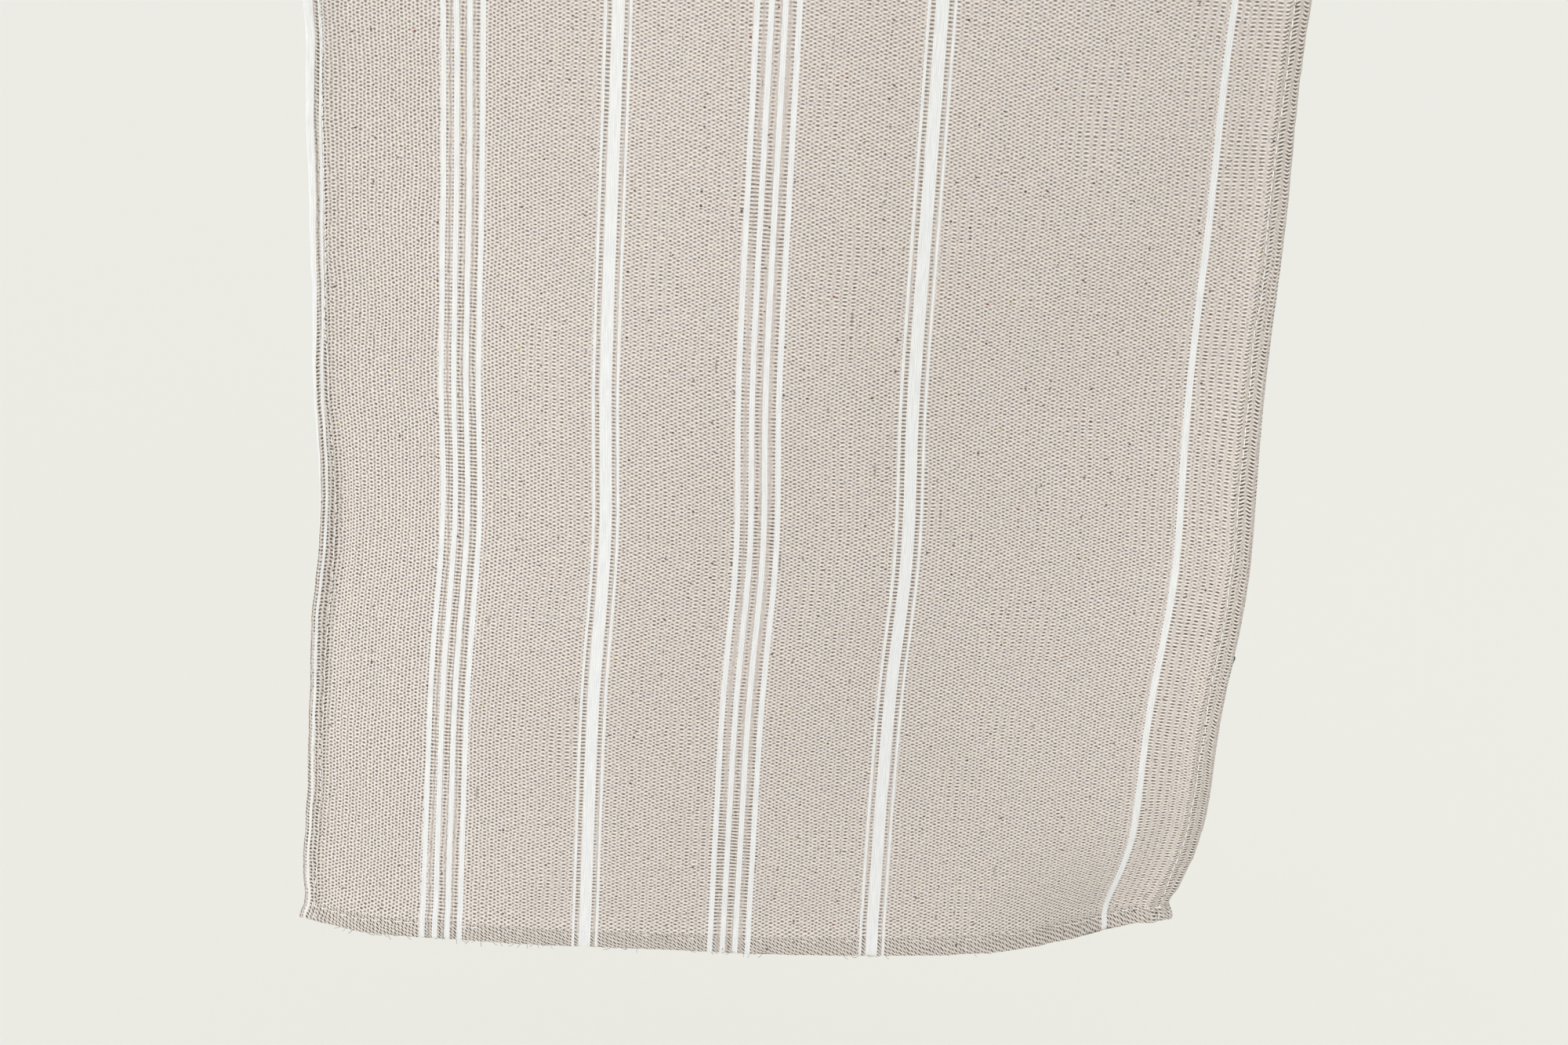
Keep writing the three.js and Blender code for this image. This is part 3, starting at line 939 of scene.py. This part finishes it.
# %% Label
LABEL_WIDE = 14 * MM
LABEL_HIGH = 10 * MM
LABEL_THICK = 0.4 * MM
LABEL_LIFT = 121 * MM
LABEL_OUT = 0.5 * MM
LABEL_TURN = math.radians(12)
LABEL_ROUND = 1.2 * MM
LABEL_SEAM = 1.9 * MM
LABEL_CURL = 1.1 * MM
LABEL_SEAM_END = 1.2 * MM
LABEL_GAP = 0.12 * MM
LABEL_COLUMNS, LABEL_ROWS = 29, 21
LABEL_MIDDLE_U = (HALF_WIDTH + LABEL_OUT - LABEL_WIDE / 2 * math.cos(LABEL_TURN)
                  - LABEL_HIGH / 2 * math.sin(LABEL_TURN))


def label_place(across, down, behind):
    """Points on the label: across and down it from its inner top corner, and behind the hem's underside."""
    a, d = across - LABEL_WIDE / 2, down - LABEL_HIGH / 2
    u = LABEL_MIDDLE_U + a * math.cos(LABEL_TURN) - d * math.sin(LABEL_TURN)
    s = HALF_LENGTH - LABEL_LIFT + a * math.sin(LABEL_TURN) + d * math.cos(LABEL_TURN)
    under_height, _ = heights(-1, np.clip(u, -HALF_WIDTH, HALF_WIDTH), s)
    curl = LABEL_CURL * (down / LABEL_HIGH) ** 2
    points, out = draped(-1, u, s, under_height - LABEL_GAP - curl - behind)
    return points, -out


def make_label():
    across = np.linspace(0, LABEL_WIDE, LABEL_COLUMNS)
    places, flats = [], []
    for down in np.linspace(0, LABEL_HIGH, LABEL_ROWS):
        in_round = min(1, down / LABEL_ROUND, (LABEL_HIGH - down) / LABEL_ROUND)
        corner_cut = LABEL_ROUND * (1 - in_round) ** 2
        fit = np.clip(across, corner_cut, LABEL_WIDE - corner_cut)
        loop_across = np.concatenate([fit, fit[::-1]])
        behind = np.concatenate([np.zeros_like(fit), np.full_like(fit, LABEL_THICK)])
        points, _ = label_place(loop_across, np.full_like(loop_across, down), behind)
        places.append(points)
        flat_down = np.full_like(loop_across, down / MM)
        flats.append(np.stack([loop_across / MM, flat_down, 1 - behind / LABEL_THICK], -1))
    return closed_sheet("label_tape", np.array(places), np.array(flats), -1)


def make_tape():
    """Plain dark satin-woven label tape, left blank, with a painted sheen on its raised threads."""
    label_tape, tree, shader = new_material("dark_woven_tape")
    flat = add(tree, "ShaderNodeAttribute", attribute_name="flat_place").outputs["Vector"]
    u, s = add(tree, "ShaderNodeSeparateXYZ", {0: flat}).outputs[:2]
    rib = calc(tree, "COSINE", calc(tree, "MULTIPLY", s, 2 * math.pi / 0.35))
    fine = calc(tree, "COSINE", calc(tree, "MULTIPLY", u, 2 * math.pi / 0.3))
    relief = calc(tree, "MULTIPLY_ADD", fine, 0.5, rib)
    # Lighter where the relief is high: a painted sheen on the raised threads.
    colour = tinted(tree, linear("#1b1f2a"), rise(tree, relief, -1, 1), 1, "#2c3242")
    tree.links.new(colour, shader.inputs["Base Color"])
    bump = add(tree, "ShaderNodeBump", {"Strength": 0.5, "Distance": 0.06 * MM, "Height": relief})
    tree.links.new(bump.outputs[0], shader.inputs["Normal"])
    shader.inputs["Roughness"].default_value = 0.7
    return label_tape


label = make_label()
label.data.materials.append(make_tape())
seam_across = np.linspace(LABEL_SEAM_END, LABEL_WIDE - LABEL_SEAM_END, 24)
seam_points, seam_out = label_place(seam_across, np.full_like(seam_across, LABEL_SEAM), LABEL_THICK)
seam_line = line_mesh("label_line", [(seam_points, seam_out)])
LABEL_STITCH = {**STITCH, "Spacing": 2.9 * MM, "Length": 2.2 * MM, "Thickness": 0.3 * MM,
                "Arch": 0.3 * MM}
label_stitches = run_tree(stitch_tree, "label_stitches", seam_line, LABEL_STITCH)
print("label", [round(d / MM, 1) for d in label.dimensions], "mm")
print("its stitches have", len(label_stitches.data.polygons), "faces")

# %% Loose fibres along the end hems
FRAYED = {-1: [(-150, -122), (-112, -70), (-52, -40), (-20, 6), (36, 52), (84, 90)],
          1: [(-128, -96), (-60, -48), (14, 40), (90, 108)]}


def make_fibre_cotton():
    """Loose undyed cotton fibre."""
    loose_cotton, _, shader = new_material("loose_cotton_fibre")
    shader.inputs["Base Color"].default_value = linear("#8f8579")
    shader.inputs["Roughness"].default_value = 0.9
    return loose_cotton


def frayed_edge(end, low, high):
    """A line along the end hem's folded edge, whose way out points down."""
    u = np.arange(low * MM, high * MM, 0.5 * MM)
    s = np.full_like(u, HALF_LENGTH - 0.3 * MM)
    under_height, face_height = heights(end, u, s)
    points, _ = draped(end, u, s, (under_height + face_height) / 2)
    return points, np.tile((0.0, 0.0, -1.0), (len(u), 1))


loose_cotton = make_fibre_cotton()
fibre_tree = thread_tree("loose_fibres", sides=4, bends=6)
FIBRE = {"Spacing": 2.3 * MM, "Length": 4.2 * MM, "Thickness": 0.16 * MM, "Arch": 1.2 * MM,
         "Disorder": 1.3, "Seed": 11, "Material": loose_cotton}
fibres = {}
for end, drop in ((-1, "front"), (1, "rear")):
    lines = [frayed_edge(end, low, high) for low, high in FRAYED[end]]
    frayed = line_mesh(f"{drop}_frayed_lines", lines)
    fibres[drop] = run_tree(fibre_tree, f"{drop}_loose_fibres", frayed, FIBRE)
    print(drop, "fibres have", len(fibres[drop].data.polygons), "faces")

SIDES = ("left", "right")


def hems_and_panel(part, ends):
    side_hems = [f"{part}_{side}_hem" for side in SIDES]
    return [f"{part}_panel", *side_hems, *([f"{part}_end_hem"] if ends else [])]


def seam_nodes(part, ends):
    side_seams = [f"{part}_{side}_seam_thread" for side in SIDES]
    return [*side_seams, *([f"{part}_end_seam_thread"] if ends else [])]


def hang(piece):
    """Bakes the placement of a piece that hangs over the table's edge into its mesh."""
    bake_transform(piece)


for name, end, start, stop in LENGTHS:
    if stop < HALF_LENGTH:
        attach(cloth[name], "table_part")
        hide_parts(*hems_and_panel("table", False))
    else:
        hang(cloth[name])
        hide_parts(*hems_and_panel("front" if end < 0 else "rear", True))
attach(stitches["table"], "table_part")
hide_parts(*seam_nodes("table", False))
for end, drop in ((-1, "front"), (1, "rear")):
    hang(stitches[drop])
    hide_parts(*seam_nodes(drop, True))
    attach(fibres[drop], f"{drop}_drop")
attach(label, "label_flap")
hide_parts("label")
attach(label_stitches, "label_flap")
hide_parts("label_seam_thread")
